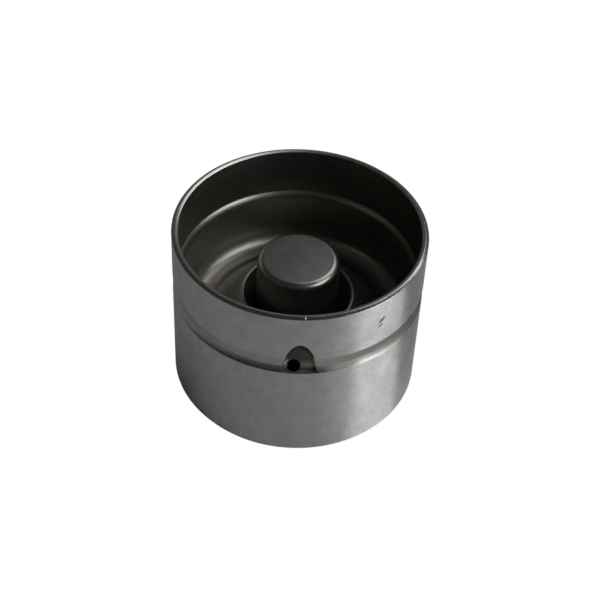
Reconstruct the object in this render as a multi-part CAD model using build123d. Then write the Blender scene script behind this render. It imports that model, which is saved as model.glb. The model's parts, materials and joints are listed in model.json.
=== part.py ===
from build123d import *
import math
import os

# Hydraulic bucket tappet for an overhead camshaft engine, in millimetres.
# It stands on its cam face, as it does on a bench. The origin is the centre of the cam face,
# and +Z runs to the open end of the skirt, where the valve stem goes in.
# Heights are counted up from the cam face.

os.makedirs("parts", exist_ok=True)

# Bucket: crown and skirt turned and ground from one blank
bucket_radius = 17.5
bucket_height = 26.0
skirt_wall = 0.9
crown_thickness = 2.8
crown_corner_radius = 2.0
cam_edge_width = 0.5
cam_edge_height = 0.8
rim_outer_round = 0.35
rim_inner_chamfer = 0.3

# Plunger pad under the crown, with the slot that lets oil into the plunger
pad_height = 0.4
transfer_slot_width = 2.4
transfer_slot_inner_radius = 2.2
transfer_slot_reach = 2.0
transfer_slot_depth = 0.7

# Oil groove round the skirt
groove_low_height = 15.8
groove_height = 2.6
groove_depth = 0.45
groove_corner_radius = 0.75
groove_edge_round = 0.12
groove_top_break = 0.1

# Oil pocket, milled by a tilted cutter that stops at the groove's lower edge
pocket_angle = -87.5
pocket_rise = 5.4
pocket_depth = 0.72
pocket_cutter_radius = 2.37
pocket_cutter_tilt = 26.0

# Oil feed hole, drilled down through the pocket into the feed channel
feed_hole_radius = 0.88
feed_hole_angle = -90.0
feed_hole_rise = 0.85
feed_hole_pitch = 42.0

# Guide insert: drawn sheet, pressed into the skirt, with the sleeve that guides the housing
sheet_thickness = 0.55
insert_top_height = 18.8
insert_taper_height = 1.3
insert_top_land = 0.06
insert_floor_height = 9.5
insert_fillet_radius = 2.2
lip_height = 14.21
lip_radius = 0.65
funnel_mouth_radius = 7.8
funnel_slope = 52.0
funnel_corner_radius = 0.9
sleeve_clearance = 0.05

# Feed channel, pressed inwards in the insert's wall behind the feed hole
channel_radius = 1.3
channel_inset = 0.3
channel_end_rise = 0.25

# Inner housing: the cup that bears on the valve stem
housing_radius = 5.77
housing_wall = 1.25
housing_length = 14.4
housing_end_thickness = 2.2
housing_edge_radius = 1.0
housing_mouth_chamfer = 0.4
housing_floor_corner = 0.3

# Retaining ring: an open wire ring that stops the housing at the sleeve's end
ring_wire_radius = 0.3
ring_groove_depth = 0.35
ring_mouth_distance = 0.7
ring_gap_angle = 30.0
ring_seat_clearance = 0.01
ring_stop_gap = 0.02

# Plunger: slides in the housing, stands on the pad and carries the valve seat
plunger_length = 8.8
plunger_clearance = 0.02
plunger_wall = 1.3
plunger_end_thickness = 1.9
plunger_edge_chamfer = 0.25
valve_port_radius = 0.8
valve_seat_mouth_radius = 1.15

# Check ball
ball_radius = 1.25
ball_lift = 0.25

# Ball cage: pressed sheet cap that holds the ball and its spring
cage_sheet = 0.25
cage_side_clearance = 0.2
cage_dome_radius = 0.85
cage_height = 3.1
cage_flange_clearance = 0.2
cage_window_width = 1.1
cage_window_height = 1.1
cage_window_count = 3

# Flat sides that stand for the round of both springs' wire
wire_sides = 10

# Ball spring
ball_spring_radius = 0.55
ball_spring_wire = 0.15
ball_spring_turns = 4.0
ball_spring_clearance = 0.01

# Return spring, between the cage's flange and the housing's floor
spring_room = 6.2
spring_wire = 0.5
spring_turns = 5.0
spring_clearance = 0.35

# Heights and radii that follow
skirt_bore = bucket_radius - skirt_wall
groove_floor_radius = bucket_radius - groove_depth
insert_wall_radius = skirt_bore - sheet_thickness
housing_bore = housing_radius - housing_wall
sleeve_bore = housing_radius + sleeve_clearance
plunger_radius = housing_bore - plunger_clearance
plunger_seat_height = crown_thickness + pad_height
plunger_top_height = plunger_seat_height + plunger_length
housing_floor_height = plunger_top_height + spring_room
hub_face_height = housing_floor_height + housing_end_thickness
housing_mouth_height = hub_face_height - housing_length
ring_height = housing_mouth_height + ring_mouth_distance
sleeve_end_height = ring_height + ring_wire_radius + ring_stop_gap
seat_line_radius = ball_radius * math.cos(math.radians(45))
ball_height = plunger_top_height - (valve_seat_mouth_radius - seat_line_radius) + seat_line_radius


def turned(edges):
    """A solid turned about the axis from a closed half section drawn as radius and height."""
    return revolve(Plane.XZ * make_face(edges), axis=Axis.Z)


def ring_between(inner, outer, low, high):
    """A plain ring, used to bound a cutter."""
    height = high - low
    return Pos(0, 0, low + height / 2) * (Cylinder(outer, height) - Cylinder(inner, height))


def corners_at(sketch, places, tolerance=1e-4):
    """The corners of a section that lie at the given places."""
    wanted = [Vector(x, y, 0) for x, y in places]
    return [v for v in sketch.vertices() if any((Vector(v) - w).length < tolerance for w in wanted)]


def bucket_section():
    """Half section of crown and skirt, with the oil groove and its curved lower flank."""
    groove_top = groove_low_height + groove_height
    flank_turn = math.degrees(math.acos(1 - groove_depth / groove_corner_radius))
    flank_top = groove_low_height + groove_corner_radius * math.sin(math.radians(flank_turn))
    flank_centre = (groove_floor_radius + groove_corner_radius, flank_top)
    outside = Polyline(
        (0, 0),
        (bucket_radius - cam_edge_width, 0),
        (bucket_radius, cam_edge_height),
        (bucket_radius, groove_low_height),
    )
    flank = CenterArc(flank_centre, groove_corner_radius, 180, flank_turn)
    inside = Polyline(
        flank @ 0,
        (groove_floor_radius, groove_top),
        (bucket_radius, groove_top),
        (bucket_radius, bucket_height),
        (skirt_bore, bucket_height),
        (skirt_bore, crown_thickness),
        (plunger_radius, crown_thickness),
        (plunger_radius, plunger_seat_height),
        (0, plunger_seat_height),
        (0, 0),
    )
    section = make_face(outside.edges() + flank.edges() + inside.edges())
    section = fillet(corners_at(section, [(skirt_bore, crown_thickness)]), crown_corner_radius)
    section = fillet(corners_at(section, [(bucket_radius, groove_low_height)]), groove_edge_round)
    section = fillet(corners_at(section, [(bucket_radius, groove_top)]), groove_top_break)
    section = fillet(corners_at(section, [(bucket_radius, bucket_height)]), rim_outer_round)
    return chamfer(corners_at(section, [(skirt_bore, bucket_height)]), rim_inner_chamfer)


def oil_pocket():
    """The cutter's path: a steep round cut, held to its depth and to the groove's lower edge."""
    top = groove_low_height + pocket_rise
    reach = bucket_radius
    cutter = Pos(-pocket_cutter_radius, 0, 0) * Cylinder(pocket_cutter_radius, 4 * reach)
    cutter = Rot(0, -pocket_cutter_tilt, 0) * cutter
    outside = Pos(bucket_radius, 0, top) * Rot(0, 0, 180) * cutter
    bound = ring_between(bucket_radius - pocket_depth, bucket_radius + reach, groove_low_height, top + reach)
    return Rot(0, 0, pocket_angle) * (outside & bound)


def feed_hole():
    """The drill, from outside the skirt to just past its bore."""
    start = (bucket_radius - pocket_depth, 0, groove_low_height + feed_hole_rise)
    length = 2 * (pocket_depth + skirt_wall + channel_radius)
    drill = Cylinder(feed_hole_radius, length)
    return Rot(0, 0, feed_hole_angle) * Pos(*start) * Rot(0, 90 - feed_hole_pitch, 0) * drill


def transfer_slot():
    """The slot under the plunger's rim, from its reservoir to the space round it."""
    length = plunger_radius + transfer_slot_reach - transfer_slot_inner_radius
    slot = Box(length, transfer_slot_width, 2 * transfer_slot_depth)
    return Pos(transfer_slot_inner_radius + length / 2, 0, plunger_seat_height) * slot


def make_bucket():
    bucket = revolve(Plane.XZ * bucket_section(), axis=Axis.Z)
    return bucket - oil_pocket() - feed_hole() - transfer_slot()


def cone_slope(fillet_centre, lip_centre):
    """Slope of the straight cone that rises from the floor fillet to the lip, from the horizontal."""
    across = fillet_centre[0] - lip_centre[0]
    up = fillet_centre[1] - lip_centre[1]
    reach = math.hypot(across, up)
    turn = math.asin((insert_fillet_radius + lip_radius) / reach)
    return math.degrees(turn - math.atan2(up, across))


def funnel_corner_height():
    """Height where the funnel's lower corner has turned into the straight sleeve."""
    slope = math.radians(funnel_slope)
    across = funnel_mouth_radius - sleeve_bore - funnel_corner_radius
    across -= (lip_radius - funnel_corner_radius) * math.sin(slope)
    upper_end = lip_height - lip_radius + lip_radius * math.cos(slope)
    return upper_end - across * math.tan(slope) - funnel_corner_radius * math.cos(slope)


def sheet_line(depth):
    """The sheet's section line at a depth behind its visible face, from the taper to the sleeve."""
    wall = insert_wall_radius + depth
    fillet_centre = (insert_wall_radius - insert_fillet_radius, insert_floor_height + insert_fillet_radius)
    lip_centre = (funnel_mouth_radius, lip_height - lip_radius)
    corner_centre = (sleeve_bore + funnel_corner_radius, funnel_corner_height())
    slope = cone_slope(fillet_centre, lip_centre)
    taper_low = insert_top_height - insert_taper_height
    floor_arc = CenterArc(fillet_centre, insert_fillet_radius + depth, 0, -(90 + slope))
    lip_arc = CenterArc(lip_centre, lip_radius - depth, 90 - slope, funnel_slope + slope)
    corner_arc = CenterArc(corner_centre, funnel_corner_radius - depth, 90 + funnel_slope, 90 - funnel_slope)
    return [
        Line((wall, taper_low), floor_arc @ 0),
        floor_arc,
        Line(floor_arc @ 1, lip_arc @ 0),
        lip_arc,
        Line(lip_arc @ 1, corner_arc @ 0),
        corner_arc,
        Line(corner_arc @ 1, (sleeve_bore + depth, sleeve_end_height)),
    ]


def taper_line():
    """The smooth S that thins the sheet to its top edge."""
    top = skirt_bore - insert_top_land
    low = insert_top_height - insert_taper_height
    turn = 2 * math.atan2(top - insert_wall_radius, insert_taper_height)
    bend = insert_taper_height / (2 * math.sin(turn))
    upper = CenterArc((top - bend, insert_top_height), bend, 0, -math.degrees(turn))
    lower = CenterArc((insert_wall_radius + bend, low), bend, 180, -math.degrees(turn))
    return [upper, lower]


def insert_section():
    """Half section of the drawn sheet."""
    face_line = sheet_line(0)
    back_line = sheet_line(sheet_thickness)
    taper = taper_line()
    closing = [
        Line(taper[0] @ 0, (skirt_bore, insert_top_height)),
        Line((skirt_bore, insert_top_height), back_line[0] @ 0),
        Line(face_line[-1] @ 1, back_line[-1] @ 1),
    ]
    return make_face(face_line + back_line + taper + closing)


def room_above_sheet():
    """The space over the sheet's back face, inside the skirt's bore."""
    back_line = sheet_line(sheet_thickness)
    closing = Polyline(
        back_line[-1] @ 1,
        (0, sleeve_end_height),
        (0, insert_top_height),
        (skirt_bore, insert_top_height),
        back_line[0] @ 0,
    )
    return turned(back_line + closing.edges())


def channel_shape(radius, low):
    """An upright round bar with a domed top, centred on the feed channel."""
    top = insert_top_height - insert_taper_height - channel_end_rise
    shaft = Pos(0, 0, (low + top) / 2) * Cylinder(radius, top - low)
    bar = shaft + Pos(0, 0, top) * Sphere(radius)
    return Rot(0, 0, feed_hole_angle) * Pos(skirt_bore - channel_inset, 0, 0) * bar


def make_guide_insert():
    low = insert_floor_height - insert_fillet_radius
    sheet = revolve(Plane.XZ * insert_section(), axis=Axis.Z)
    bulge = channel_shape(channel_radius + sheet_thickness, low) & room_above_sheet()
    return sheet + bulge - channel_shape(channel_radius, low)


def make_inner_housing():
    groove_inner = housing_radius - ring_groove_depth
    section = make_face(Polyline(
        (0, hub_face_height),
        (housing_radius, hub_face_height),
        (housing_radius, ring_height + ring_wire_radius),
        (groove_inner, ring_height + ring_wire_radius),
        (groove_inner, ring_height - ring_wire_radius),
        (housing_radius, ring_height - ring_wire_radius),
        (housing_radius, housing_mouth_height),
        (housing_bore, housing_mouth_height),
        (housing_bore, housing_floor_height),
        (0, housing_floor_height),
        (0, hub_face_height),
    ).edges())
    section = fillet(corners_at(section, [(housing_radius, hub_face_height)]), housing_edge_radius)
    section = fillet(corners_at(section, [(housing_bore, housing_floor_height)]), housing_floor_corner)
    mouth = corners_at(section, [(housing_bore, housing_mouth_height)])
    section = chamfer(mouth, housing_mouth_chamfer)
    return revolve(Plane.XZ * section, axis=Axis.Z)


def make_retaining_ring():
    middle = housing_radius - ring_groove_depth + ring_wire_radius + ring_seat_clearance
    wire = Plane.XZ * Pos(middle, ring_height) * Circle(ring_wire_radius)
    ring = revolve(wire, axis=Axis.Z, revolution_arc=360 - ring_gap_angle)
    return Rot(0, 0, 90 + ring_gap_angle / 2) * ring


def make_plunger():
    reservoir = plunger_radius - plunger_wall
    seat_depth = valve_seat_mouth_radius - valve_port_radius
    reservoir_top = plunger_top_height - plunger_end_thickness
    section = make_face(Polyline(
        (reservoir, plunger_seat_height),
        (plunger_radius, plunger_seat_height),
        (plunger_radius, plunger_top_height),
        (valve_seat_mouth_radius, plunger_top_height),
        (valve_port_radius, plunger_top_height - seat_depth),
        (valve_port_radius, reservoir_top),
        (reservoir, reservoir_top),
        (reservoir, plunger_seat_height),
    ).edges())
    outer = [(plunger_radius, plunger_seat_height), (plunger_radius, plunger_top_height)]
    section = chamfer(corners_at(section, outer), plunger_edge_chamfer)
    section = fillet(corners_at(section, [(reservoir, reservoir_top)]), plunger_edge_chamfer)
    return revolve(Plane.XZ * section, axis=Axis.Z)


def make_check_ball():
    return Pos(0, 0, ball_height) * Sphere(ball_radius)


def cage_sizes():
    """Inner radius of the cage's cup, and the height under its shoulder, where a lifted ball stops."""
    cup = ball_radius + cage_side_clearance
    over_centre = math.sqrt(ball_radius**2 - cage_dome_radius**2)
    return cup, ball_height + ball_lift + over_centre


def make_ball_cage():
    cup, shoulder = cage_sizes()
    flange = housing_bore - cage_flange_clearance
    dome_top = plunger_top_height + cage_height
    section = make_face(Polyline(
        (cup, plunger_top_height),
        (flange, plunger_top_height),
        (flange, plunger_top_height + cage_sheet),
        (cup + cage_sheet, plunger_top_height + cage_sheet),
        (cup + cage_sheet, shoulder + cage_sheet),
        (cage_dome_radius + cage_sheet, shoulder + cage_sheet),
        (cage_dome_radius + cage_sheet, dome_top),
        (0, dome_top),
        (0, dome_top - cage_sheet),
        (cage_dome_radius, dome_top - cage_sheet),
        (cage_dome_radius, shoulder),
        (cup, shoulder),
        (cup, plunger_top_height),
    ).edges())
    outer = [(cup + cage_sheet, shoulder + cage_sheet), (cage_dome_radius + cage_sheet, dome_top)]
    section = fillet(corners_at(section, outer), cage_sheet / 2)
    cage = revolve(Plane.XZ * section, axis=Axis.Z)
    window_middle = plunger_top_height + cage_sheet + cage_window_height / 2
    window = Pos(cup, 0, window_middle) * Box(4 * cage_sheet, cage_window_width, cage_window_height)
    for turn in range(cage_window_count):
        cage -= Rot(0, 0, turn * 360 / cage_window_count) * window
    return cage


def coil(radius, wire, low, high, turns):
    """Spring wire wound from one height to another, drawn with flat sides round its section."""
    path = Helix(pitch=(high - low) / turns, height=high - low, radius=radius)
    section = Plane(origin=path @ 0, z_dir=path % 0) * RegularPolygon(wire / 2, wire_sides)
    return Pos(0, 0, low) * sweep(section, path=path, is_frenet=True)


def make_ball_spring():
    from_centre = ball_radius + ball_spring_wire / 2 + ball_spring_clearance
    low = ball_height + math.sqrt(from_centre**2 - ball_spring_radius**2)
    high = plunger_top_height + cage_height - cage_sheet - ball_spring_wire / 2 - ball_spring_clearance
    return coil(ball_spring_radius, ball_spring_wire, low, high, ball_spring_turns)


def make_return_spring():
    """Its two ends are ground flat on the flange and the floor."""
    low = plunger_top_height + cage_sheet
    high = housing_floor_height
    radius = housing_bore - spring_clearance - spring_wire / 2
    ground = ring_between(radius - spring_wire, radius + spring_wire, low, high)
    return coil(radius, spring_wire, low, high, spring_turns) & ground


makers = {
    "bucket": make_bucket,
    "guide_insert": make_guide_insert,
    "inner_housing": make_inner_housing,
    "retaining_ring": make_retaining_ring,
    "plunger": make_plunger,
    "check_ball": make_check_ball,
    "ball_cage": make_ball_cage,
    "ball_spring": make_ball_spring,
    "return_spring": make_return_spring,
}

for node, make in makers.items():
    export_step(make(), f"parts/{node}.step")
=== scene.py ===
# %% [markdown]
# # Hydraulic bucket tappet
# A tappet from an overhead camshaft engine stands on its cam face and shows its open end.
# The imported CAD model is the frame: it says where each piece is and what it moves with.
# This script makes the surfaces that the eye sees, gives every piece its finish, and sets
# the floor, the light and the camera.

# %% Load the frame
import json
import math

import bpy
from mathutils import Matrix, Vector


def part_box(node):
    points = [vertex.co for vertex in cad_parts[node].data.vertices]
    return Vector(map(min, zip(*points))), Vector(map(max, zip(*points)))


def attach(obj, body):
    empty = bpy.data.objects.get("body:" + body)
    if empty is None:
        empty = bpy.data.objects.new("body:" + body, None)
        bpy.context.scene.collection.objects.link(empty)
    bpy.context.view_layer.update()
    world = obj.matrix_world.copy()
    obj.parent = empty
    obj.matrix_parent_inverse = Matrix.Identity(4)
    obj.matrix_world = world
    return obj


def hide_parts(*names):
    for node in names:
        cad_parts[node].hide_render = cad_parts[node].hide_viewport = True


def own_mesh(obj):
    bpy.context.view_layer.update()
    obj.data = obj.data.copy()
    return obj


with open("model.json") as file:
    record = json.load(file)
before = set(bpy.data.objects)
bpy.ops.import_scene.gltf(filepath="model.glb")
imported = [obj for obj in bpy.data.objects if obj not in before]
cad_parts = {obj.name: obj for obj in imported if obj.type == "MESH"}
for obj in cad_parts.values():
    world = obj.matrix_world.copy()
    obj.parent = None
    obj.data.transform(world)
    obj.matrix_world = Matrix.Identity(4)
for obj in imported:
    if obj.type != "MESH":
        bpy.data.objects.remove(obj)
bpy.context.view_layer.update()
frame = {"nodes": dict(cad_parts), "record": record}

mm = 0.001
scene = bpy.context.scene
nodes = frame["nodes"]
print("pieces in the frame:", ", ".join(sorted(nodes)))

# %% [markdown]
# ## Camera
# The photograph was taken from a little less than half a right angle above the bench, with
# the camera slightly rolled. Those angles, the distance and the lens are set first, because
# every later choice is judged through this camera. The view starts on the axis of the part,
# half way up, and is then turned by the small angles that the framing needs.

# %% Place the camera
photo_width = 600
focal_pixels = 1411.5
sensor_width = 36.0
camera_distance = 200.5 * mm
camera_elevation = math.radians(44.08)
camera_roll = math.radians(2.83)
camera_pan = math.radians(-0.12)
camera_tilt = math.radians(-0.13)

bucket_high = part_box("bucket")[1]
bucket_height = bucket_high.z
looking_at = Vector((0, 0, bucket_height / 2))

turn = Matrix.Rotation(math.pi / 2 - camera_elevation, 3, "X")
turn = turn @ Matrix.Rotation(camera_roll, 3, "Z")
away = turn @ Vector((0, 0, camera_distance))
turn = turn @ Matrix.Rotation(camera_pan, 3, "Y") @ Matrix.Rotation(camera_tilt, 3, "X")

bpy.ops.object.camera_add()
camera = bpy.context.object
camera.name = "camera"
camera.matrix_world = Matrix.Translation(looking_at + away) @ turn.to_4x4()
camera.data.sensor_width = sensor_width
camera.data.lens = focal_pixels * sensor_width / photo_width
camera.data.clip_start = 10 * mm
scene.camera = camera
print(f"camera {camera_distance / mm:.0f} mm away with a {camera.data.lens:.1f} mm lens")

# %% [markdown]
# ## Floor, sky and lamps
# The photograph shows pure white round the part. To the eye the floor and the sky are
# therefore white, and to the metal they are what lights it: a pale card with painted light and
# shade on it, lighter towards the front left and darker at the back right, under a dark room that
# is a little lighter low down at the back. The Light Path node makes that difference, so that no
# shadow or horizon is seen from any side. Three soft windows stand at the right: the main one, a
# low faint one nearer the camera, and a high one further back.

# %% A helper for shader nodes
def add_node(tree, kind, inputs=(), **settings):
    """One shader node, with its settings, and each socket's value or the socket that feeds it."""
    made = tree.nodes.new("ShaderNode" + kind)
    for key, value in settings.items():
        setattr(made, key, value)
    for socket, value in dict(inputs).items():
        if isinstance(value, bpy.types.NodeSocket):
            tree.links.new(value, made.inputs[socket])
        else:
            made.inputs[socket].default_value = value
    return made


# %% The floor
floor_size = 1.2
painted_light_side = math.radians(-32)
card_painted_shade = 0.41
card_painted_light = 0.96
dark_up_to = -0.85
bright_from = 0.1

bpy.ops.object.select_all(action="DESELECT")
bpy.ops.mesh.primitive_plane_add(size=floor_size, location=(0, 0, 0))
floor = bpy.context.object
floor.name = "floor"
paper = bpy.data.materials.new("paper")
paper.use_nodes = True
tree = paper.node_tree
tree.nodes.clear()
seen = add_node(tree, "LightPath").outputs["Is Camera Ray"]
place_on = add_node(tree, "TexCoord").outputs["Object"]
outwards = add_node(tree, "VectorMath", {0: place_on}, operation="NORMALIZE")
# The card's tone is painted light and shade: lighter towards the front left, darker towards the back right.
# Only rays that are not the camera's see it.
facing = add_node(
    tree, "VectorMath", {0: outwards.outputs[0], 1: (math.sin(painted_light_side), -math.cos(painted_light_side), 0)},
    operation="DOT_PRODUCT",
)
tone = add_node(
    tree, "MapRange", {
        "Value": facing.outputs["Value"],
        "From Min": dark_up_to,
        "From Max": bright_from,
        "To Min": card_painted_shade,
        "To Max": card_painted_light,
    },
    interpolation_type="SMOOTHSTEP",
)
card = add_node(tree, "BsdfDiffuse", {"Color": tone.outputs["Result"]})
white = add_node(tree, "Emission", {"Color": (1, 1, 1, 1)})
both = add_node(tree, "MixShader", {0: seen, 1: card.outputs[0], 2: white.outputs[0]})
add_node(tree, "OutputMaterial", {"Surface": both.outputs[0]})
floor.data.materials.append(paper)

# %% The sky
sky_front = 0.04
sky_back = 0.16
sky_fall = 2.5

world = bpy.data.worlds.new("room")
scene.world = world
world.use_nodes = True
tree = world.node_tree
tree.nodes.clear()
seen = add_node(tree, "LightPath").outputs["Is Camera Ray"]
way = add_node(tree, "SeparateXYZ", {0: add_node(tree, "TexCoord").outputs["Generated"]})
back = add_node(tree, "Math", {0: way.outputs["Y"], 1: 0.0}, operation="MAXIMUM")
low_back = add_node(tree, "Math", {0: back.outputs[0], 1: sky_fall}, operation="POWER")
room = add_node(tree, "MapRange", {"Value": low_back.outputs[0], "To Min": sky_front, "To Max": sky_back})
dim = add_node(tree, "Background", {"Color": (1, 1, 1, 1), "Strength": room.outputs["Result"]})
white = add_node(tree, "Background", {"Color": (1, 1, 1, 1), "Strength": 1.0})
both = add_node(tree, "MixShader", {0: seen, 1: dim.outputs[0], 2: white.outputs[0]})
add_node(tree, "OutputWorld", {"Surface": both.outputs[0]})
scene.view_settings.view_transform = "Standard"


# %% The lamps
lamp_distance = 0.5


def soft_window(name, azimuth, elevation, width, height, power):
    """An area lamp that faces the part. Azimuth 0 is the camera's side, and 90 is the right."""
    side = math.radians(azimuth)
    rise = math.radians(elevation)
    way = Vector((math.sin(side) * math.cos(rise), -math.cos(side) * math.cos(rise), math.sin(rise)))
    bpy.ops.object.light_add(type="AREA", location=way * lamp_distance)
    lamp = bpy.context.object
    lamp.name = name
    lamp.rotation_euler = way.to_track_quat("Z", "Y").to_euler()
    lamp.data.shape = "RECTANGLE"
    lamp.data.size = width
    lamp.data.size_y = height
    lamp.data.energy = power
    return lamp


soft_window("window", azimuth=71, elevation=27, width=0.36, height=0.46, power=1.66)
soft_window("low_window", azimuth=45, elevation=8, width=0.32, height=0.14, power=0.09)
soft_window("far_window", azimuth=141, elevation=52, width=0.26, height=0.3, power=0.45)

# %% [markdown]
# ## Finishes
# No metal here is one flat colour. Ground, drawn and hardened steel differ in how dark they
# are and how sharply they reflect, and all of them show soft patches with fine specks over
# them. That shared effect is one node group, which each material uses with its own values.
# A few steels are darker as painted shade: the one for sides in shade, the one for the feed
# hole, and in part the pocket's.
# The finishes come before the pieces, because a cutter gives its own finish to what it cuts.

# %% The shared group of patches and specks
def make_cloudy():
    """Soft patches and fine specks on Object coordinates: a tone from 0 to 1, and a height."""
    group = bpy.data.node_groups.new("cloudy_metal", "ShaderNodeTree")
    for name in ("Patch scale", "Speck scale", "Speck share", "Stretch"):
        group.interface.new_socket(name, in_out="INPUT", socket_type="NodeSocketFloat")
    for name in ("Tone", "Height"):
        group.interface.new_socket(name, in_out="OUTPUT", socket_type="NodeSocketFloat")
    given = group.nodes.new("NodeGroupInput").outputs
    place_on = add_node(group, "TexCoord").outputs["Object"]
    stretch = add_node(group, "CombineXYZ", {"X": 1.0, "Y": 1.0, "Z": given["Stretch"]})
    lines = add_node(group, "VectorMath", {0: place_on, 1: stretch.outputs[0]}, operation="MULTIPLY")
    patches = add_node(group, "TexNoise", {"Vector": place_on, "Scale": given["Patch scale"], "Detail": 4.0})
    specks = add_node(group, "TexNoise", {
        "Vector": lines.outputs[0],
        "Scale": given["Speck scale"],
        "Detail": 3.0,
        "Roughness": 0.6,
    })
    mixed = add_node(group, "Mix", {
        "Factor": given["Speck share"],
        "A": patches.outputs["Fac"],
        "B": specks.outputs["Fac"],
    })
    tone = add_node(group, "MapRange", {
        "Value": mixed.outputs["Result"],
        "From Min": 0.3,
        "From Max": 0.7,
    })
    out = group.nodes.new("NodeGroupOutput")
    group.links.new(tone.outputs["Result"], out.inputs["Tone"])
    group.links.new(specks.outputs["Fac"], out.inputs["Height"])
    return group


cloudy = make_cloudy()


# %% [markdown]
# Handling leaves hairlines that run in any direction and lie in loose clusters. Where a noise
# passes its middle value it draws such a line, and a second, larger noise says where lines
# are at all.

# %% The shared group of hairlines
scratch_turn = 0.6
cluster_scale = 260.0
cluster_edge = (0.5, 0.62)


def make_hairlines():
    """Fine curved scratches on Object coordinates, as a mask from 0 to 1."""
    group = bpy.data.node_groups.new("hairlines", "ShaderNodeTree")
    for name in ("Scale", "Width", "Stretch"):
        group.interface.new_socket(name, in_out="INPUT", socket_type="NodeSocketFloat")
    group.interface.new_socket("Mask", in_out="OUTPUT", socket_type="NodeSocketFloat")
    given = group.nodes.new("NodeGroupInput").outputs
    place_on = add_node(group, "TexCoord").outputs["Object"]
    stretch = add_node(group, "CombineXYZ", {"X": given["Stretch"], "Y": 1.0, "Z": 1.0})
    turning = {"Vector": place_on, "Angle": scratch_turn}
    turned = add_node(group, "VectorRotate", turning, rotation_type="Y_AXIS")
    lines = add_node(group, "VectorMath", {0: turned.outputs[0], 1: stretch.outputs[0]}, operation="MULTIPLY")
    noise = add_node(group, "TexNoise", {"Vector": lines.outputs[0], "Scale": given["Scale"], "Detail": 1.0})
    middle = add_node(group, "Math", {0: noise.outputs["Fac"], 1: 0.5}, operation="SUBTRACT")
    off = add_node(group, "Math", {0: middle.outputs[0]}, operation="ABSOLUTE")
    line = add_node(group, "MapRange", {
        "Value": off.outputs[0],
        "From Min": 0.0,
        "From Max": given["Width"],
        "To Min": 1.0,
        "To Max": 0.0,
    })
    clusters = add_node(group, "TexNoise", {"Vector": place_on, "Scale": cluster_scale, "Detail": 2.0})
    where = add_node(group, "MapRange", {
        "Value": clusters.outputs["Fac"],
        "From Min": cluster_edge[0],
        "From Max": cluster_edge[1],
    })
    both = {0: line.outputs["Result"], 1: where.outputs["Result"]}
    mask = add_node(group, "Math", both, operation="MULTIPLY")
    out = group.nodes.new("NodeGroupOutput")
    group.links.new(mask.outputs[0], out.inputs["Mask"])
    return group


hairlines = make_hairlines()


# %% A steel from two tones
hairline_scale = 900
hairline_width = 0.012
hairline_stretch = 0.35
relief_height = 0.02 * mm


def steel(name, dark, light, rough, patch, speck, share=0.5, stretch=1.0, bump=0.0, scratch=0.0):
    """Steel between two tones and two roughnesses, with its patches and specks per metre."""
    material = bpy.data.materials.new(name)
    material.use_nodes = True
    tree = material.node_tree
    shader = tree.nodes["Principled BSDF"]
    shader.inputs["Metallic"].default_value = 1.0
    clouds = tree.nodes.new("ShaderNodeGroup")
    clouds.node_tree = cloudy
    clouds.inputs["Patch scale"].default_value = patch
    clouds.inputs["Speck scale"].default_value = speck
    clouds.inputs["Speck share"].default_value = share
    clouds.inputs["Stretch"].default_value = stretch
    tone = clouds.outputs["Tone"]
    if scratch:
        marks = tree.nodes.new("ShaderNodeGroup")
        marks.node_tree = hairlines
        marks.inputs["Scale"].default_value = hairline_scale
        marks.inputs["Width"].default_value = hairline_width
        marks.inputs["Stretch"].default_value = hairline_stretch
        faint = add_node(tree, "Math", {0: marks.outputs["Mask"], 1: scratch}, operation="MULTIPLY")
        tone = add_node(tree, "Math", {0: tone, 1: faint.outputs[0]}, operation="ADD").outputs[0]
    colour = add_node(tree, "Mix", {"Factor": tone, "A": (*dark, 1), "B": (*light, 1)}, data_type="RGBA")
    colour.clamp_factor = False
    tree.links.new(colour.outputs["Result"], shader.inputs["Base Color"])
    gloss = add_node(tree, "MapRange", {
        "Value": clouds.outputs["Tone"],
        "To Min": rough[0],
        "To Max": rough[1],
    })
    tree.links.new(gloss.outputs["Result"], shader.inputs["Roughness"])
    if bump:
        relief = add_node(tree, "Bump", {
            "Strength": bump,
            "Distance": relief_height,
            "Height": clouds.outputs["Height"],
        })
        tree.links.new(relief.outputs["Normal"], shader.inputs["Normal"])
    return material


ground_steel = steel(
    "ground_steel", (0.44, 0.44, 0.438), (0.67, 0.67, 0.662), (0.33, 0.38), 520, 2700,
    share=0.55, stretch=1.4, bump=0.3, scratch=0.5,
)
turned_steel = steel(
    "turned_steel", (0.28, 0.28, 0.265), (0.36, 0.36, 0.34), (0.22, 0.28), 600, 3000,
    bump=0.05,
)
rim_steel = steel("rim_steel", (0.38, 0.38, 0.36), (0.50, 0.50, 0.475), (0.17, 0.23), 900, 3500, bump=0.06)
bore_steel = steel("bore_steel", (0.19, 0.186, 0.168), (0.23, 0.224, 0.202), (0.34, 0.40), 300, 2500)
# The pocket's side is dark partly as its unground finish and partly as painted shade, the shade deep in the
# pocket.
pocket_steel = steel("pocket_steel", (0.04, 0.04, 0.036), (0.09, 0.09, 0.08), (0.38, 0.5), 1200, 5000)
drawn_steel = steel("drawn_steel", (0.27, 0.263, 0.237), (0.33, 0.321, 0.289), (0.34, 0.40), 250, 2200)
hub_steel = steel(
    "hub_steel", (0.24, 0.238, 0.226), (0.34, 0.337, 0.32), (0.28, 0.34), 700, 3500,
    share=0.6, bump=0.04, scratch=0.3,
)
# Painted shade: a darker copy of steel for the housing's side and the insert's funnel and sleeve, which stand
# in the shaded gap between them.
painted_shade_steel = steel("painted_shade_steel", (0.13, 0.13, 0.124), (0.18, 0.18, 0.172), (0.36, 0.42), 500, 3000)
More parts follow.
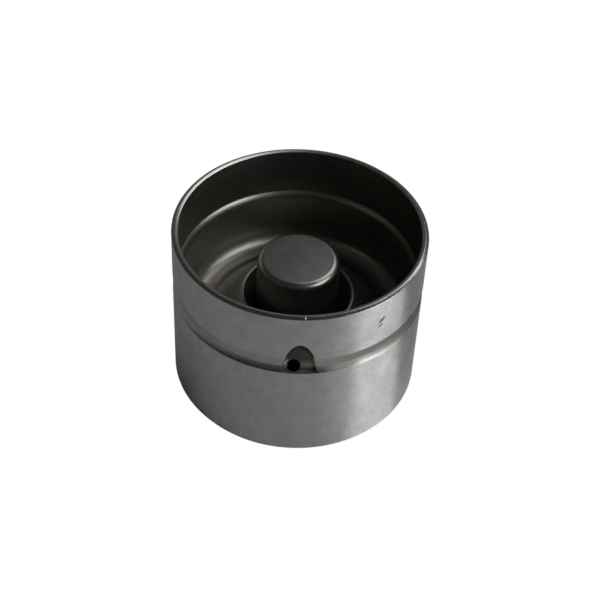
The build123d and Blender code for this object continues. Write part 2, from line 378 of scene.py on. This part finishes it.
# Painted shade: the feed hole's wall and the oil channel behind it are near black, the darkness inside the
# hole.
hole_painted_shade = steel("hole_painted_shade", (0.01, 0.01, 0.009), (0.02, 0.02, 0.018), (0.5, 0.6), 1200, 5000)
wire_steel = steel("wire_steel", (0.30, 0.30, 0.29), (0.38, 0.375, 0.36), (0.30, 0.38), 900, 4000)
plunger_steel = steel("plunger_steel", (0.38, 0.38, 0.37), (0.44, 0.44, 0.43), (0.22, 0.28), 500, 3000)
ball_chrome = steel("ball_chrome", (0.60, 0.60, 0.59), (0.66, 0.66, 0.65), (0.06, 0.09), 500, 3000)
sheet_steel = steel("sheet_steel", (0.30, 0.295, 0.28), (0.38, 0.375, 0.36), (0.30, 0.40), 700, 3000)

# %% [markdown]
# The skirt is ground while it turns, so its marks run round it. They spread every reflection
# upwards and downwards, which is why the window stands in the wall as one soft upright streak.
# The shader does this with anisotropy. Its tangent runs round the axis, and a quarter turn
# makes it spread the light across that tangent.

# %% The grain of the grinding
grain = 1.0
across_the_tangent = 0.25

shader = ground_steel.node_tree.nodes["Principled BSDF"]
shader.inputs["Anisotropic"].default_value = grain
shader.inputs["Anisotropic Rotation"].default_value = across_the_tangent
tangent = add_node(ground_steel.node_tree, "Tangent", direction_type="RADIAL", axis="Z")
ground_steel.node_tree.links.new(tangent.outputs[0], shader.inputs["Tangent"])

# %% [markdown]
# Some marks have one place: a dark scuff of two short strokes on the skirt at the right, a burr
# on the rim in front that glints, and in the oil pocket the tool's rings round the feed hole, a
# painted highlight of bright streaks left of it and a patch of painted light right of it. The
# rings are a wave texture.
# Every other mark is a round or long spot, placed by its height and its angle round the axis.
# A spot mixes another colour in, and the burr's spot raises a small bump instead.

# %% Spots in one place
spot_reach = 4 * mm


def spot(tree, radius, azimuth, height, size, lean=0.0):
    """A mask, 1 in the middle and 0 at half the size. Azimuth 0 is the front, and 90 the right."""
    side = math.radians(azimuth)
    rise = math.radians(lean)
    outward = Vector((math.sin(side), -math.cos(side), 0))
    along = Vector((math.cos(side) * math.cos(rise), math.sin(side) * math.cos(rise), math.sin(rise)))
    axes = Matrix((along, outward.cross(along), outward)).transposed()
    where = add_node(tree, "Mapping", {
        "Vector": add_node(tree, "TexCoord").outputs["Object"],
        "Location": outward * radius + Vector((0, 0, height)),
        "Rotation": axes.to_euler(),
        "Scale": (size[0] / 2, size[1] / 2, spot_reach),
    }, vector_type="TEXTURE")
    mask = add_node(tree, "TexGradient", {"Vector": where.outputs[0]}, gradient_type="SPHERICAL")
    return mask.outputs["Fac"]


def tint(material, mask, strength, colour):
    """Mixes a colour into a steel where a mask is bright."""
    tree = material.node_tree
    base = tree.nodes["Principled BSDF"].inputs["Base Color"]
    share = add_node(tree, "Math", {0: mask, 1: strength}, operation="MULTIPLY", use_clamp=True)
    mixed = add_node(tree, "Mix", {
        "Factor": share.outputs[0],
        "A": base.links[0].from_socket,
        "B": (*colour, 1),
    }, data_type="RGBA")
    tree.links.new(mixed.outputs["Result"], base)


# %% The scuff on the skirt
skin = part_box("bucket")[1].x
soot = (0.04, 0.04, 0.04)

tree = ground_steel.node_tree
upper = spot(tree, skin, azimuth=40.0, height=22.6 * mm, size=(1.6 * mm, 0.5 * mm), lean=39)
lower = spot(tree, skin, azimuth=39.3, height=21.65 * mm, size=(1.1 * mm, 0.42 * mm), lean=36)
tint(ground_steel, upper, 2.2, soot)
tint(ground_steel, lower, 1.5, soot)

# %% The floor of the oil pocket
hole_line = 16.6 * mm
ring_scale = 900.0
ring_wobble = 2.0
bright_ring = (0.55, 0.9)
ring_dark = (0.03, 0.03, 0.027)
painted_light_olive = (0.32, 0.33, 0.27)
painted_highlight_colour = (0.85, 0.85, 0.85)

ledge_steel = steel("ledge_steel", (0.20, 0.20, 0.17), (0.36, 0.36, 0.31), (0.60, 0.70), 1200, 5000)
# The pocket's floor is dark partly as its unground finish and partly as painted shade.
pocket_wall = steel("pocket_wall", (0.045, 0.045, 0.04), (0.09, 0.09, 0.08), (0.34, 0.42), 1200, 5000)
tree = pocket_wall.node_tree
place_on = add_node(tree, "Mapping", {
    "Vector": add_node(tree, "TexCoord").outputs["Object"],
    "Location": (0, -skin, hole_line),
}, vector_type="TEXTURE")
rings = add_node(tree, "TexWave", {
    "Vector": place_on.outputs[0],
    "Scale": ring_scale,
    "Distortion": ring_wobble,
    "Detail": 2.0,
    "Detail Scale": 0.7,
}, wave_type="RINGS", rings_direction="Y")
sharp = add_node(tree, "MapRange", {
    "Value": rings.outputs["Fac"],
    "From Min": bright_ring[0],
    "From Max": bright_ring[1],
})
tint(pocket_wall, rings.outputs["Fac"], 0.35, ring_dark)
# Painted light: a lighter olive patch right of the hole, the light on a curved face that this pocket's floor
# doesn't have.
patch = spot(tree, skin, azimuth=5.4, height=hole_line - 0.6 * mm, size=(3.6 * mm, 3.6 * mm))
tint(pocket_wall, patch, 1.0, painted_light_olive)
# Painted highlight: bright streaks along the rings left of the hole, the reflection of the light in a curved
# face that this pocket's floor doesn't have.
painted_highlight_spot = spot(tree, skin, azimuth=-4.8, height=hole_line - 0.2 * mm, size=(2.2 * mm, 4.0 * mm))
painted_highlight_streaks = add_node(tree, "Math", {0: painted_highlight_spot, 1: sharp.outputs["Result"]}, operation="MULTIPLY")
tint(pocket_wall, painted_highlight_streaks.outputs[0], 3.0, painted_highlight_colour)

# %% The burr on the rim
burr_relief = 0.06 * mm
burr_inset = 0.45 * mm
burr_line = 25.95 * mm
burr_width = 0.26 * mm

tree = rim_steel.node_tree
shader = tree.nodes["Principled BSDF"]
burr = add_node(tree, "Bump", {
    "Distance": burr_relief,
    "Height": spot(tree, skin - burr_inset, azimuth=3.9, height=burr_line, size=(burr_width, burr_width)),
    "Normal": shader.inputs["Normal"].links[0].from_socket,
})
tree.links.new(burr.outputs["Normal"], shader.inputs["Normal"])

# %% [markdown]
# ## How the turned pieces are made
# The bucket, the guide insert and the inner housing are all turned or drawn round one axis.
# Each starts as a single vertex that is extruded from corner to corner along its half
# section, and the section is then spun round the axis. That gives even rings of faces, which
# reflect more smoothly than the frame's own triangles.

# %% Points of a section
arc_step = 9.0
turned_steps = 256


def arc(centre, radius, start, sweep):
    """Points on an arc of the section. Angles in degrees, from straight outwards, counted upwards."""
    steps = max(2, math.ceil(abs(sweep) / arc_step))
    turns = [math.radians(start + sweep * i / steps) for i in range(steps + 1)]
    return [(centre[0] + radius * math.cos(t), centre[1] + radius * math.sin(t)) for t in turns]


def rounded(before, corner, after, radius):
    """The arc that rounds a corner and meets both of its sides."""
    corner = Vector(corner)
    to_before = (Vector(before) - corner).normalized()
    to_after = (Vector(after) - corner).normalized()
    half = to_before.angle(to_after) / 2
    centre = corner + (to_before + to_after).normalized() * radius / math.sin(half)
    first = corner + to_before * radius / math.tan(half) - centre
    last = corner + to_after * radius / math.tan(half) - centre
    start = math.degrees(math.atan2(first.y, first.x))
    end = math.degrees(math.atan2(last.y, last.x))
    sweep = (end - start + 180) % 360 - 180
    return arc(centre, radius, start, sweep)


# %% Draw a section and spin it
merge_distance = mm / 1000


def deselect():
    """Leaves edit mode with nothing selected."""
    if bpy.context.mode != "OBJECT":
        bpy.ops.object.mode_set(mode="OBJECT")
    bpy.ops.object.select_all(action="DESELECT")


def spun(name, points, material=None):
    """A piece turned from its half section, a list of radius and height in metres."""
    deselect()
    bpy.ops.mesh.primitive_plane_add(size=mm, location=(0, 0, 0))
    piece = bpy.context.object
    piece.name = name
    bpy.ops.object.mode_set(mode="EDIT")
    bpy.ops.mesh.select_all(action="SELECT")
    bpy.ops.mesh.merge(type="CENTER")
    bpy.ops.transform.translate(value=(points[0][0], 0, points[0][1]))
    for (r0, z0), (r1, z1) in zip(points, points[1:]):
        bpy.ops.mesh.extrude_region_move(TRANSFORM_OT_translate={"value": (r1 - r0, 0, z1 - z0)})
    bpy.ops.mesh.select_all(action="SELECT")
    bpy.ops.mesh.spin(steps=turned_steps, angle=math.tau, center=(0, 0, 0), axis=(0, 0, 1))
    bpy.ops.mesh.select_all(action="SELECT")
    bpy.ops.mesh.remove_doubles(threshold=merge_distance)
    bpy.ops.mesh.normals_make_consistent(inside=False)
    bpy.ops.object.mode_set(mode="OBJECT")
    if material:
        piece.data.materials.append(material)
    print(f"{name}: {len(piece.data.polygons)} faces")
    return piece


# %% Cut, join and paint
def combine(piece, other, operation):
    """Joins or cuts a piece with another, which is used up. New faces keep the other's finish."""
    deselect()
    bpy.context.view_layer.objects.active = piece
    modifier = piece.modifiers.new("combine", "BOOLEAN")
    modifier.operation = operation
    modifier.solver = "EXACT"
    modifier.material_mode = "TRANSFER"
    modifier.object = other
    bpy.ops.object.modifier_apply(modifier=modifier.name)
    bpy.data.objects.remove(other)


def paint_faces(piece, material, wanted):
    """Gives a second finish to the faces whose middle passes the test on radius and height."""
    deselect()
    piece.select_set(True)
    bpy.context.view_layer.objects.active = piece
    bpy.ops.object.mode_set(mode="EDIT")
    bpy.ops.mesh.select_all(action="DESELECT")
    bpy.ops.object.mode_set(mode="OBJECT")
    chosen = 0
    for face in piece.data.polygons:
        face.select = wanted(face.center.xy.length, face.center.z)
        chosen += face.select
    piece.data.materials.append(material)
    piece.active_material_index = len(piece.data.materials) - 1
    bpy.ops.object.mode_set(mode="EDIT")
    bpy.ops.object.material_slot_assign()
    bpy.ops.object.mode_set(mode="OBJECT")
    print(f"{material.name}: {chosen} faces of {piece.name}")


# %% Smooth a piece and tie it to the frame
smooth_angle = math.radians(20)


def finish_piece(piece, node):
    """Smooth shading, the tie to the frame's body, and the frame's own piece hidden."""
    deselect()
    piece.select_set(True)
    bpy.context.view_layer.objects.active = piece
    bpy.ops.object.shade_smooth_by_angle(angle=smooth_angle)
    body = next(name for name, members in frame["record"]["behaviour"]["bodies"].items() if node in members)
    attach(piece, body)
    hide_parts(node)
    print(f"{piece.name} rides on {body} and stands for {node}")


# %% [markdown]
# ## Bucket
# Crown and skirt are one turned and ground piece. The section has the bevel round the cam
# face, the oil groove with its nearly straight lower flank and its square upper shoulder, and
# the thin rim, whose two slopes fall away from a fine ridge. Its sizes come from the frame
# where it gives them.

# %% The bucket's section
bucket_radius = bucket_high.x
skirt_wall = 0.9 * mm
skirt_bore = bucket_radius - skirt_wall
crown_thickness = 2.8 * mm
crown_corner = 2.0 * mm
cam_edge_width = 0.5 * mm
cam_edge_height = 0.8 * mm
cam_edge_round = 0.25 * mm
rim_ridge = bucket_radius - 0.45 * mm
rim_inner_slope = math.radians(14)
rim_outer_slope = math.radians(26)
rim_ridge_round = 0.15 * mm
rim_edge_round = 0.07 * mm
groove_low = 15.8 * mm
groove_top = groove_low + 2.6 * mm
groove_floor = bucket_radius - 0.45 * mm
flank_height = 0.92 * mm
flank_radius = 4.0 * mm
groove_edge_round = 0.12 * mm
groove_top_round = 0.1 * mm
plunger_low, plunger_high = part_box("plunger")
pad_radius = plunger_high.x
pad_height = plunger_low.z
face_margin = mm / 100


def groove_flank():
    """The round edge under the groove and the slightly hollow flank up to the floor's corner."""
    low = Vector((bucket_radius, groove_low))
    high = Vector((groove_floor, groove_low + flank_height))
    chord = high - low
    turn = math.degrees(math.asin(chord.length / 2 / flank_radius))
    lean = math.degrees(math.atan2(-chord.x, chord.y))
    outwards = Vector((chord.y, -chord.x)).normalized() * flank_radius * math.cos(math.radians(turn))
    trim = math.degrees(groove_edge_round / flank_radius) / 2
    hollow = arc((low + high) / 2 + outwards, flank_radius, 180 + lean + turn - trim, trim - 2 * turn)
    return rounded((bucket_radius, cam_edge_height), low, hollow[0], groove_edge_round) + hollow


bevel = [
    (0, 0),
    (bucket_radius - cam_edge_width, 0),
    (bucket_radius, cam_edge_height),
    (bucket_radius, groove_low),
]
outline = [(0, 0)]
outline += rounded(*bevel[0:3], cam_edge_round)
outline += rounded(*bevel[1:4], cam_edge_round)
outline += groove_flank()
rim_half_turn = (rim_outer_slope + rim_inner_slope) / 2
rim_lean = (rim_outer_slope - rim_inner_slope) / 2
rim_cut_off = rim_ridge_round * (math.cos(rim_lean) / math.cos(rim_half_turn) - 1)
rim_top = bucket_height + rim_cut_off
rim = [
    (groove_floor, groove_top),
    (bucket_radius, groove_top),
    (bucket_radius, rim_top - (bucket_radius - rim_ridge) * math.tan(rim_outer_slope)),
    (rim_ridge, rim_top),
    (skirt_bore, rim_top - (rim_ridge - skirt_bore) * math.tan(rim_inner_slope)),
    (skirt_bore, crown_thickness),
]
outline += rim[:1]
outline += rounded(*rim[0:3], groove_top_round)
outline += rounded(*rim[1:4], rim_edge_round)
outline += rounded(*rim[2:5], rim_ridge_round)
outline += rounded(*rim[3:6], rim_edge_round)
outline += rounded(rim[4], rim[5], (0, crown_thickness), crown_corner)
outline += [(pad_radius, crown_thickness), (pad_radius, pad_height), (0, pad_height)]
bucket = spun("bucket_turned", outline, ground_steel)
paint_faces(bucket, bore_steel, lambda r, z: r < skirt_bore + face_margin and z > mm)
paint_faces(
    bucket, turned_steel,
    lambda r, z: skirt_bore < r < bucket_radius - 2 * face_margin and groove_low - mm < z < groove_top,
)
paint_faces(bucket, rim_steel, lambda r, z: z > rim[4][1] - 2 * rim_edge_round)

# %% [markdown]
# The oil pocket is a round cut by a tilted tool, so its edge on the skirt is an arch. Its
# cutter is a leaning cylinder held to the pocket's depth by a ring. The feed hole goes down
# through it into the channel behind the skirt. A slot in the edge of the pad lets the oil pass
# under the plunger. Cutters are used with Boolean modifiers.

# %% Cutters for the pocket, the hole and the slot
pocket_angle = math.radians(-87.5)
pocket_rise = 5.4 * mm
pocket_depth = 0.72 * mm
pocket_cutter_radius = 2.37 * mm
pocket_cutter_tilt = math.radians(26.0)
hole_radius = 0.88 * mm
hole_angle = math.radians(-90)
hole_rise = 0.85 * mm
hole_pitch = math.radians(42)
slot_width = 2.4 * mm
slot_inner = 2.2 * mm
slot_outer = pad_radius + 2.0 * mm
slot_depth = 0.7 * mm
pocket_steps = 96
drill_steps = 64


def round_bar(name, radius, length, material, steps):
    """A closed cylinder round the Z axis, with its middle at the origin."""
    deselect()
    bpy.ops.mesh.primitive_cylinder_add(vertices=steps, radius=radius, depth=length, location=(0, 0, 0))
    bar = bpy.context.object
    bar.name = name
    bar.data.materials.append(material)
    return bar


def place(piece, *moves):
    """Applies the moves to the piece's own mesh, the first one first."""
    for move in moves:
        piece.data.transform(move)
    piece.data.update()


pocket = round_bar("pocket_cutter", pocket_cutter_radius, 4 * bucket_radius, pocket_steel, pocket_steps)
place(
    pocket,
    Matrix.Translation((-pocket_cutter_radius, 0, 0)),
    Matrix.Rotation(-pocket_cutter_tilt, 4, "Y"),
    Matrix.Rotation(math.pi, 4, "Z"),
    Matrix.Translation((bucket_radius, 0, groove_low + pocket_rise)),
    Matrix.Rotation(pocket_angle, 4, "Z"),
)
keep = spun("pocket_bound", [
    (bucket_radius - pocket_depth, groove_low),
    (2 * bucket_radius, groove_low),
    (2 * bucket_radius, bucket_height),
    (bucket_radius - pocket_depth, bucket_height),
    (bucket_radius - pocket_depth, groove_low),
], pocket_wall)
paint_faces(keep, ledge_steel, lambda r, z: z < groove_low + face_margin)
combine(pocket, keep, "INTERSECT")
combine(bucket, pocket, "DIFFERENCE")

# The drill leaves the hole's wall in painted shade.
drill = round_bar("feed_drill", hole_radius, 6 * skirt_wall, hole_painted_shade, drill_steps)
place(
    drill,
    Matrix.Rotation(math.pi / 2 - hole_pitch, 4, "Y"),
    Matrix.Translation((bucket_radius - pocket_depth, 0, groove_low + hole_rise)),
    Matrix.Rotation(hole_angle, 4, "Z"),
)
combine(bucket, drill, "DIFFERENCE")

deselect()
bpy.ops.mesh.primitive_cube_add(size=1, location=(0, 0, 0))
slot = bpy.context.object
slot.data.materials.append(bore_steel)
place(
    slot,
    Matrix.Diagonal((slot_outer - slot_inner, slot_width, 2 * slot_depth, 1)),
    Matrix.Translation(((slot_inner + slot_outer) / 2, 0, pad_height)),
)
combine(bucket, slot, "DIFFERENCE")
print(f"bucket after its cuts: {len(bucket.data.polygons)} faces")
finish_piece(bucket, "bucket")

# %% [markdown]
# ## Guide insert
# A sheet cup is drawn with a funnel and a sleeve in its middle, and pressed into the skirt.
# Its top edge tapers in an uneven S, its wall is upright, a large fillet turns into a shallow
# cone that rises to the lip, and the funnel leads down into the sleeve that guides the housing.
# The hidden face of the sheet is the same line, one sheet's thickness behind. Only the round
# under the lip can't be that tight, so towards the lip the sheet gets thinner here.

# %% The insert's section
insert_low, insert_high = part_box("guide_insert")
housing_low, housing_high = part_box("inner_housing")
housing_radius = housing_high.x
sheet = 0.55 * mm
insert_wall = skirt_bore - sheet
taper_height = 1.3 * mm
taper_land = 0.06 * mm
taper_share = 0.04
floor_height = 9.5 * mm
floor_fillet = 2.2 * mm
lip_height = 14.21 * mm
lip_radius = 0.42 * mm
lip_inside = 0.1 * mm
funnel_mouth = 7.8 * mm
funnel_slope = 52.0
funnel_corner = 0.9 * mm
sleeve_clearance = 0.05 * mm
sleeve_bore = housing_radius + sleeve_clearance


def sheet_line(depth):
    """Points of the sheet's face at a depth behind the visible one, from taper to sleeve's end."""
    fillet_centre = (insert_wall - floor_fillet, floor_height + floor_fillet)
    lip_centre = (funnel_mouth, lip_height - lip_radius)
    across = fillet_centre[0] - lip_centre[0]
    up = fillet_centre[1] - lip_centre[1]
    tangent = math.asin((floor_fillet + lip_radius) / math.hypot(across, up))
    slope = math.degrees(tangent - math.atan2(up, across))
    lean = math.radians(funnel_slope)
    run = funnel_mouth - sleeve_bore - funnel_corner - (lip_radius - funnel_corner) * math.sin(lean)
    corner_height = lip_centre[1] + (lip_radius - funnel_corner) * math.cos(lean) - run * math.tan(lean)
    line = [(insert_wall + depth, insert_high.z - taper_height)]
    line += arc(fillet_centre, floor_fillet + depth, 0, -(90 + slope))
    line += arc(lip_centre, max(lip_radius - depth, lip_inside), 90 - slope, funnel_slope + slope)
    corner_centre = (sleeve_bore + funnel_corner, corner_height)
    line += arc(corner_centre, funnel_corner - depth, 90 + funnel_slope, 90 - funnel_slope)
    return line + [(sleeve_bore + depth, insert_low.z)]


taper_top = skirt_bore - taper_land
taper_turn = 2 * math.atan2(taper_top - insert_wall, taper_height)
taper_hollow = taper_share * taper_height / math.sin(taper_turn)
taper_shoulder = (1 - taper_share) * taper_height / math.sin(taper_turn)
taper_turn = math.degrees(taper_turn)
taper_low = insert_high.z - taper_height
outline = [(skirt_bore, insert_high.z)]
outline += arc((taper_top - taper_hollow, insert_high.z), taper_hollow, 0, -taper_turn)
outline += arc((insert_wall + taper_shoulder, taper_low), taper_shoulder, 180 - taper_turn, taper_turn)[1:]
outline += sheet_line(0)[1:]
outline += reversed(sheet_line(sheet)[1:])
outline += [(skirt_bore, insert_high.z)]
insert = spun("guide_insert_drawn", outline, drawn_steel)
# The funnel, the sleeve and the inner half of the lip get painted shade, the dark gap round the housing,
# which also dims the lip's highlight.
paint_faces(insert, painted_shade_steel, lambda r, z: r < funnel_mouth + lip_radius / 2)

# %% [markdown]
# Behind the feed hole the sheet is pressed inwards to leave a channel for the oil. A round bar
# with a domed top, one sheet larger in radius than the channel, is joined on the inside, and
# the channel itself is cut from the outside. The bar is first trimmed along the middle of the
# sheet, so that nothing of it comes out behind. Bar and dome are turned as one piece. Made of a
# cylinder and a sphere that shared an edge, they left the mesh open when they were joined.

# %% The feed channel
channel_radius = 1.3 * mm
channel_inset = 0.3 * mm
channel_end_rise = 0.25 * mm


def channel_bar(name, radius, material):
    """An upright round bar with a domed top, where the feed channel runs."""
    low = floor_height - floor_fillet
    top = insert_high.z - taper_height - channel_end_rise
    bar = spun(name, [(0, low), (radius, low)] + arc((0, top), radius, 0, 90), material)
    outwards = Matrix.Translation((skirt_bore - channel_inset, 0, 0))
    place(bar, outwards, Matrix.Rotation(hole_angle, 4, "Z"))
    return bar


bulge = channel_bar("channel_outside", channel_radius + sheet, drawn_steel)
over_sheet = sheet_line(sheet / 2)
room = spun("room_above_sheet", over_sheet + [
    (0, insert_low.z),
    (0, insert_high.z),
    (over_sheet[0][0], insert_high.z),
    over_sheet[0],
], drawn_steel)
combine(bulge, room, "INTERSECT")
combine(insert, bulge, "UNION")
# The channel's inside is cut with painted shade, so that the hole looks dark all the way through.
combine(insert, channel_bar("channel_inside", channel_radius, hole_painted_shade), "DIFFERENCE")
print(f"guide insert with its channel: {len(insert.data.polygons)} faces")
finish_piece(insert, "guide_insert")

# %% [markdown]
# ## Inner housing
# The cup in the middle bears on the valve stem with its closed end. It is turned all over, and
# its outer edge is a round of one millimetre that catches the window's light. The groove for
# the retaining ring and the bore are modelled too, because the joint can uncover them.

# %% The housing's section
housing_wall = 1.25 * mm
housing_end = 2.2 * mm
housing_edge = 1.0 * mm
housing_mouth_chamfer = 0.4 * mm
housing_floor_corner = 0.3 * mm
ring_groove_depth = 0.35 * mm
ring_low, ring_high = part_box("retaining_ring")
ring_groove = housing_radius - ring_groove_depth
housing_bore = housing_radius - housing_wall
housing_floor = housing_high.z - housing_end
face_corner = (housing_radius, housing_high.z)
floor_corner = (housing_bore, housing_floor)

outline = [(0, housing_high.z)]
outline += rounded(outline[0], face_corner, (housing_radius, ring_high.z), housing_edge)
outline += [
    (housing_radius, ring_high.z),
    (ring_groove, ring_high.z),
    (ring_groove, ring_low.z),
    (housing_radius, ring_low.z),
    (housing_radius, housing_low.z),
    (housing_bore + housing_mouth_chamfer, housing_low.z),
    (housing_bore, housing_low.z + housing_mouth_chamfer),
]
outline += rounded((housing_bore, housing_low.z), floor_corner, (0, housing_floor), housing_floor_corner)
outline += [(0, housing_floor)]
housing = spun("inner_housing_turned", outline, hub_steel)
# The housing below the middle of its edge round gets painted shade, darker than its face though it is one
# turned piece.
paint_faces(housing, painted_shade_steel, lambda r, z: z < housing_high.z - housing_edge / 2)
finish_piece(housing, "inner_housing")

# %% [markdown]
# ## The two springs
# Each is wound from round wire, and the return spring's ends are ground flat on the cage's flange
# and the housing's floor. One end of a spring stands still while the other is pushed. Here each
# spring rides with one body of the frame and keeps its wound shape.

# %% Wind the springs
wire_corners = 24
steps_in_a_turn = 48
bisect_snap = mm / 100000


def wound(name, radius, wire, low, high, turns, material):
    """A coil of round wire whose middle line climbs from one height to another."""
    deselect()
    bpy.ops.mesh.primitive_circle_add(
        vertices=wire_corners, radius=wire / 2, location=(radius, 0, low), rotation=(math.pi / 2, 0, 0)
    )
    spring = bpy.context.object
    spring.name = name
    spring.data.materials.append(material)
    bpy.ops.object.transform_apply(location=True, rotation=True, scale=True)
    winding = spring.modifiers.new("winding", "SCREW")
    winding.axis = "Z"
    winding.angle = math.tau
    winding.screw_offset = (high - low) / turns
    winding.iterations = turns
    winding.steps = steps_in_a_turn
    winding.render_steps = steps_in_a_turn
    bpy.ops.object.modifier_apply(modifier=winding.name)
    bpy.ops.object.mode_set(mode="EDIT")
    bpy.ops.mesh.select_all(action="SELECT")
    bpy.ops.mesh.fill_holes(sides=0)
    bpy.ops.mesh.select_all(action="SELECT")
    bpy.ops.mesh.normals_make_consistent(inside=False)
    bpy.ops.object.mode_set(mode="OBJECT")
    print(f"{name}: {turns} turns, {len(spring.data.polygons)} faces")
    return spring


def grind_ends(spring, low, high):
    """Cuts both ends of a spring flat."""
    deselect()
    bpy.context.view_layer.objects.active = spring
    spring.select_set(True)
    bpy.ops.object.mode_set(mode="EDIT")
    for height, way in ((low, -1), (high, 1)):
        bpy.ops.mesh.select_all(action="SELECT")
        bpy.ops.mesh.bisect(
            plane_co=(0, 0, height),
            plane_no=(0, 0, way),
            use_fill=True,
            clear_outer=True,
            threshold=bisect_snap,
        )
    bpy.ops.object.mode_set(mode="OBJECT")


def press(spring):
    """Gives the spring its own copy of its mesh."""
    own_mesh(spring)


# %% The return spring
spring_low, spring_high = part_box("return_spring")
spring_wire = 0.5 * mm
spring_turns = 5
spring_clearance = 0.35 * mm
spring_radius = housing_bore - spring_clearance - spring_wire / 2
spring = wound(
    "return_spring_wound", spring_radius, spring_wire, spring_low.z, spring_high.z, spring_turns, wire_steel
)
grind_ends(spring, spring_low.z, spring_high.z)
finish_piece(spring, "return_spring")
press(spring)

# %% The ball's spring
small_low, small_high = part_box("ball_spring")
small_wire = 0.15 * mm
small_radius = 0.55 * mm
small_turns = 4
small_from = small_low.z + small_wire / 2
small_to = small_high.z - small_wire / 2
spring = wound("ball_spring_wound", small_radius, small_wire, small_from, small_to, small_turns, wire_steel)
finish_piece(spring, "ball_spring")
press(spring)

# %% [markdown]
# ## The other pieces inside
# The plunger, the ball, its cage and the ring are hidden at rest. They keep the frame's own
# shapes, each with the steel that such a piece is made of.

# %% Finishes of the pieces inside
for node, material in {
    "retaining_ring": wire_steel,
    "plunger": plunger_steel,
    "check_ball": ball_chrome,
    "ball_cage": sheet_steel,
}.items():
    nodes[node].data.materials.clear()
    nodes[node].data.materials.append(material)
